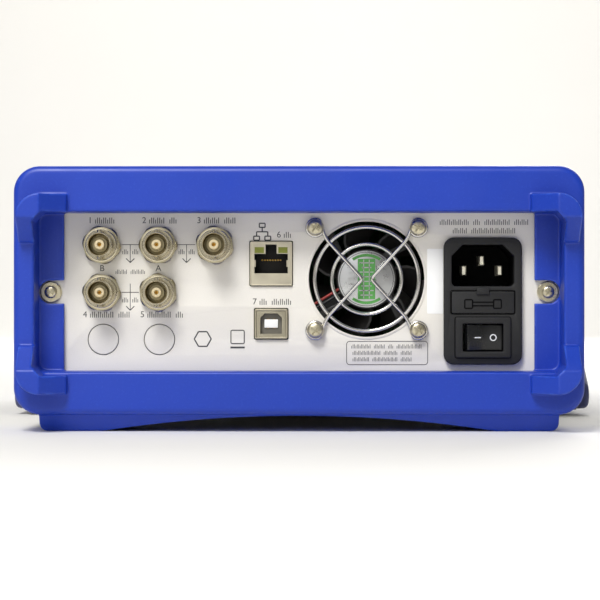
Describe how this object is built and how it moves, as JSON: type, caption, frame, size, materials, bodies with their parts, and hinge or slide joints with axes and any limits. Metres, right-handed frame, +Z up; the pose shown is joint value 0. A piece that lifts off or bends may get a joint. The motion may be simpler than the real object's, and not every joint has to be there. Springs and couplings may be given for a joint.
{
  "type": "function generator",
  "caption": "Bench function generator: sheet case between blue rubber bumpers, rear panel with coaxial sockets, data ports, guarded fan and mains inlet, folding handle.",
  "frame": {"origin": "centre of the footprint, on the surface the feet stand on", "axes": "+Z up, +Y out of the rear panel, -Y out of the front panel, +X to the right seen from the front"},
  "size_m": [0.254, 0.324, 0.102],
  "materials": {
    "blue_rubber": "moulded synthetic rubber, satin",
    "case_paint": "fine-texture powder coat on sheet steel",
    "panel_paint": "powder coat, light grey",
    "front_moulding": "moulded ABS, fine texture",
    "window_glass": "clear pane with a dark tint",
    "fuse_glass": "clear tube",
    "black_plastic": "glass-filled nylon",
    "handle_plastic": "moulded plastic, dark slate blue",
    "soft_grip": "soft grip sleeve",
    "nickel_plate": "nickel plating on brass and steel",
    "bright_wire": "bright plated steel wire",
    "tin_shell": "tinned sheet shell",
    "inlet_plastic": "moulded thermoplastic, black",
    "rocker_plastic": "moulded thermoplastic, black, smooth",
    "inlet_brass": "nickel-plated brass blades",
    "circuit_board": "glass-epoxy laminate, green mask",
    "plain_metal": "plain steel",
    "heatsink_aluminium": "extruded aluminium",
    "knob_plastic": "moulded plastic, grey",
    "key_rubber": "moulded keys, grey",
    "output_key_rubber": "moulded keys, blue-grey",
    "standby_key_rubber": "moulded key, pale grey"
  },
  "bodies": {
    "body": {"bottom_chassis": "case_paint", "top_cover": "case_paint", "rear_panel": "panel_paint", "front_panel": "front_moulding", "display_window": "window_glass", "lcd_module": "black_plastic", "front_bumper": "blue_rubber", "rear_bumper": "blue_rubber", "handle_pivot_left": "handle_plastic", "handle_pivot_right": "handle_plastic", "case_screw_left": "nickel_plate", "case_screw_right": "nickel_plate", "fan_guard": "bright_wire", "fan_screw_1": "nickel_plate", "fan_screw_2": "nickel_plate", "fan_screw_3": "nickel_plate", "fan_screw_4": "nickel_plate", "fan_frame": "black_plastic", "rear_bnc_1": "nickel_plate", "rear_bnc_2": "nickel_plate", "rear_bnc_3": "nickel_plate", "rear_bnc_4": "nickel_plate", "rear_bnc_5": "nickel_plate", "lan_jack": "tin_shell", "usb_device_socket": "tin_shell", "inlet_housing": "inlet_plastic", "inlet_pins": "inlet_brass", "blanking_disc_left": "panel_paint", "blanking_disc_right": "panel_paint", "main_board": "circuit_board", "power_board": "circuit_board", "front_board": "circuit_board", "encoder": "plain_metal", "front_bnc_a": "nickel_plate", "front_bnc_b": "nickel_plate", "transformer": "plain_metal", "heatsink": "heatsink_aluminium"},
    "handle": {"handle_frame": "handle_plastic", "handle_grip": "soft_grip"},
    "fan_rotor": {"fan_impeller": "black_plastic"},
    "rocker": {"power_rocker": "rocker_plastic"},
    "fuse_carrier": {"fuse_drawer": "inlet_plastic", "fuse": "fuse_glass"},
    "knob": {"knob": "knob_plastic"},
    "soft_key_1_body": {"soft_key_1": "key_rubber"},
    "soft_key_2_body": {"soft_key_2": "key_rubber"},
    "soft_key_3_body": {"soft_key_3": "key_rubber"},
    "soft_key_4_body": {"soft_key_4": "key_rubber"},
    "soft_key_5_body": {"soft_key_5": "key_rubber"},
    "function_key_1_body": {"function_key_1": "key_rubber"},
    "function_key_2_body": {"function_key_2": "key_rubber"},
    "function_key_3_body": {"function_key_3": "key_rubber"},
    "function_key_4_body": {"function_key_4": "key_rubber"},
    "function_key_5_body": {"function_key_5": "key_rubber"},
    "function_key_6_body": {"function_key_6": "key_rubber"},
    "function_key_7_body": {"function_key_7": "key_rubber"},
    "function_key_8_body": {"function_key_8": "key_rubber"},
    "output_key_a_body": {"output_key_a": "output_key_rubber"},
    "output_key_b_body": {"output_key_b": "output_key_rubber"},
    "standby_key_body": {"standby_key": "standby_key_rubber"}
  },
  "joints": [
    {"name": "handle_swing", "type": "hinge", "parent": "body", "child": "handle", "pos_m": [0, -0.075, 0.052], "axis": [-1, 0, 0], "range_deg": [0, 240]},
    {"name": "fan_spin", "type": "hinge", "parent": "body", "child": "fan_rotor", "pos_m": [-0.0263, 0.125, 0.0588], "axis": [0, 1, 0], "continuous": true},
    {"name": "rocker_throw", "type": "hinge", "parent": "body", "child": "rocker", "pos_m": [-0.0714, 0.1335, 0.036], "axis": [0, 0, -1], "range_deg": [0, 24]},
    {"name": "fuse_drawer_slide", "type": "slide", "parent": "body", "child": "fuse_carrier", "axis": [0, 1, 0], "range_m": [0, 0.018]},
    {"name": "knob_turn", "type": "hinge", "parent": "body", "child": "knob", "pos_m": [0.078, -0.146, 0.074], "axis": [0, -1, 0], "continuous": true},
    {"name": "soft_key_1_press", "type": "slide", "parent": "body", "child": "soft_key_1_body", "axis": [0, 1, 0], "range_m": [0, 0.0012], "stiffness_N_per_m": 400},
    {"name": "soft_key_2_press", "type": "slide", "parent": "body", "child": "soft_key_2_body", "axis": [0, 1, 0], "range_m": [0, 0.0012], "stiffness_N_per_m": 400},
    {"name": "soft_key_3_press", "type": "slide", "parent": "body", "child": "soft_key_3_body", "axis": [0, 1, 0], "range_m": [0, 0.0012], "stiffness_N_per_m": 400},
    {"name": "soft_key_4_press", "type": "slide", "parent": "body", "child": "soft_key_4_body", "axis": [0, 1, 0], "range_m": [0, 0.0012], "stiffness_N_per_m": 400},
    {"name": "soft_key_5_press", "type": "slide", "parent": "body", "child": "soft_key_5_body", "axis": [0, 1, 0], "range_m": [0, 0.0012], "stiffness_N_per_m": 400},
    {"name": "function_key_1_press", "type": "slide", "parent": "body", "child": "function_key_1_body", "axis": [0, 1, 0], "range_m": [0, 0.0012], "stiffness_N_per_m": 400},
    {"name": "function_key_2_press", "type": "slide", "parent": "body", "child": "function_key_2_body", "axis": [0, 1, 0], "range_m": [0, 0.0012], "stiffness_N_per_m": 400},
    {"name": "function_key_3_press", "type": "slide", "parent": "body", "child": "function_key_3_body", "axis": [0, 1, 0], "range_m": [0, 0.0012], "stiffness_N_per_m": 400},
    {"name": "function_key_4_press", "type": "slide", "parent": "body", "child": "function_key_4_body", "axis": [0, 1, 0], "range_m": [0, 0.0012], "stiffness_N_per_m": 400},
    {"name": "function_key_5_press", "type": "slide", "parent": "body", "child": "function_key_5_body", "axis": [0, 1, 0], "range_m": [0, 0.0012], "stiffness_N_per_m": 400},
    {"name": "function_key_6_press", "type": "slide", "parent": "body", "child": "function_key_6_body", "axis": [0, 1, 0], "range_m": [0, 0.0012], "stiffness_N_per_m": 400},
    {"name": "function_key_7_press", "type": "slide", "parent": "body", "child": "function_key_7_body", "axis": [0, 1, 0], "range_m": [0, 0.0012], "stiffness_N_per_m": 400},
    {"name": "function_key_8_press", "type": "slide", "parent": "body", "child": "function_key_8_body", "axis": [0, 1, 0], "range_m": [0, 0.0012], "stiffness_N_per_m": 400},
    {"name": "output_key_a_press", "type": "slide", "parent": "body", "child": "output_key_a_body", "axis": [0, 1, 0], "range_m": [0, 0.0012], "stiffness_N_per_m": 400},
    {"name": "output_key_b_press", "type": "slide", "parent": "body", "child": "output_key_b_body", "axis": [0, 1, 0], "range_m": [0, 0.0012], "stiffness_N_per_m": 400},
    {"name": "standby_key_press", "type": "slide", "parent": "body", "child": "standby_key_body", "axis": [0, 1, 0], "range_m": [0, 0.0012], "stiffness_N_per_m": 400}
  ]
}
